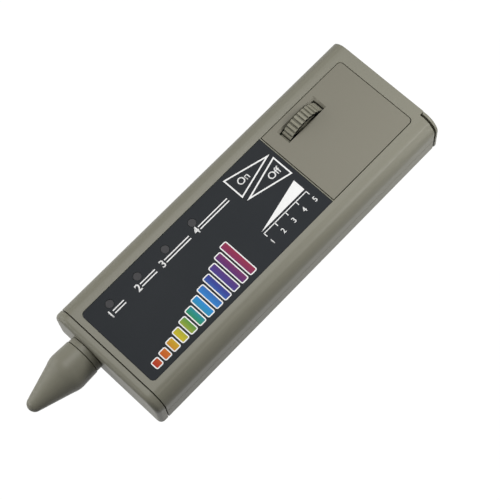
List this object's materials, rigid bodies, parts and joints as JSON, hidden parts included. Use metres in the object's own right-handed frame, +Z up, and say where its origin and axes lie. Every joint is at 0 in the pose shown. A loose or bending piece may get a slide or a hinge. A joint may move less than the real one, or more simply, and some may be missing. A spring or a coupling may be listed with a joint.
{
  "type": "diamond tester",
  "caption": "Handheld thermal gemstone tester: flat rounded case, capped cone probe at one end, label with lamps and two triangular keys, battery door with a thumbwheel.",
  "frame": {"origin": "middle of the underside of the box around the object, on the surface it rests on", "axes": "+X from the probe to the rear end, +Y to the side of the indicator lamps, +Z up"},
  "size_m": [0.204, 0.0606, 0.0275],
  "materials": {
    "shell": "fine matt texture",
    "door": "fine matt texture",
    "label": "satin printed film",
    "lamp": "tinted lens",
    "black_plastic": "moulded",
    "white_plastic": "moulded",
    "board": "lacquered laminate",
    "capacitor": "sleeved can",
    "resistor": "lacquer",
    "steel": "plated",
    "brass": "plain",
    "copper": "polished copper",
    "battery": "wrapped can",
    "foam": "open foam",
    "rubber": "matt",
    "red_wire": "sleeve",
    "black_wire": "sleeve",
    "ceramic": "unglazed"
  },
  "bodies": {
    "case": {"upper_shell": "shell", "lower_shell": "shell", "front_cap": "shell", "rear_cap": "shell", "case_screw_1": "steel", "case_screw_2": "steel", "case_screw_3": "steel", "case_screw_4": "steel", "label_overlay": "label", "on_switch": "black_plastic", "off_switch": "black_plastic", "indicator_lamp_1": "lamp", "indicator_lamp_2": "lamp", "indicator_lamp_3": "lamp", "indicator_lamp_4": "lamp", "main_board": "board", "amplifier_chip": "black_plastic", "comparator_chip": "black_plastic", "capacitor_1": "capacitor", "capacitor_2": "capacitor", "resistor_1": "resistor", "resistor_2": "resistor", "transistor": "black_plastic", "buzzer": "black_plastic", "board_screw_1": "steel", "board_screw_2": "steel", "board_screw_3": "steel", "pot_body": "black_plastic", "battery": "battery", "battery_terminals": "steel", "battery_clip": "black_plastic", "battery_pad": "foam", "battery_lead_red": "red_wire", "battery_lead_black": "black_wire", "jack_body": "black_plastic", "jack_nut": "steel", "jack_pin": "brass", "jack_lug": "brass", "jack_lead_red": "red_wire", "jack_lead_black": "black_wire", "probe_collar": "shell", "probe_nut": "brass", "probe_barrel": "steel", "probe_insulator": "ceramic", "probe_spring": "steel", "probe_lead_red": "red_wire", "probe_lead_black": "black_wire", "cap_grip_ring": "rubber"},
    "door": {"battery_door": "door"},
    "wheel": {"thumbwheel": "shell", "wheel_shaft": "steel", "thumbwheel_screw": "steel"},
    "on_button": {"on_key": "label", "on_plunger": "white_plastic"},
    "off_button": {"off_key": "label", "off_plunger": "white_plastic"},
    "tip": {"probe_tip": "copper", "probe_heater": "ceramic"},
    "cap": {"probe_cap": "shell"}
  },
  "joints": [
    {"name": "battery_door_open", "type": "hinge", "parent": "case", "child": "door", "pos_m": [0.0465, 0, 0.0234], "axis": [0, -1, 0], "range_deg": [0, 75]},
    {"name": "thumbwheel_turn", "type": "hinge", "parent": "case", "child": "wheel", "pos_m": [0.064, 0.0137, 0.0155], "axis": [0, 1, 0], "range_deg": [-135, 135]},
    {"name": "on_key_press", "type": "slide", "parent": "case", "child": "on_button", "axis": [0, 0, -1], "range_m": [0, 0.00035], "stiffness_N_per_m": 2000},
    {"name": "off_key_press", "type": "slide", "parent": "case", "child": "off_button", "axis": [0, 0, -1], "range_m": [0, 0.00035], "stiffness_N_per_m": 2000},
    {"name": "probe_tip_press", "type": "slide", "parent": "case", "child": "tip", "axis": [1, 0, 0], "range_m": [0, 0.0012], "stiffness_N_per_m": 500, "deforming": ["probe_spring"]},
    {"name": "probe_cap_pull", "type": "slide", "parent": "case", "child": "cap", "axis": [-1, 0, 0], "range_m": [0, 0.045]}
  ]
}
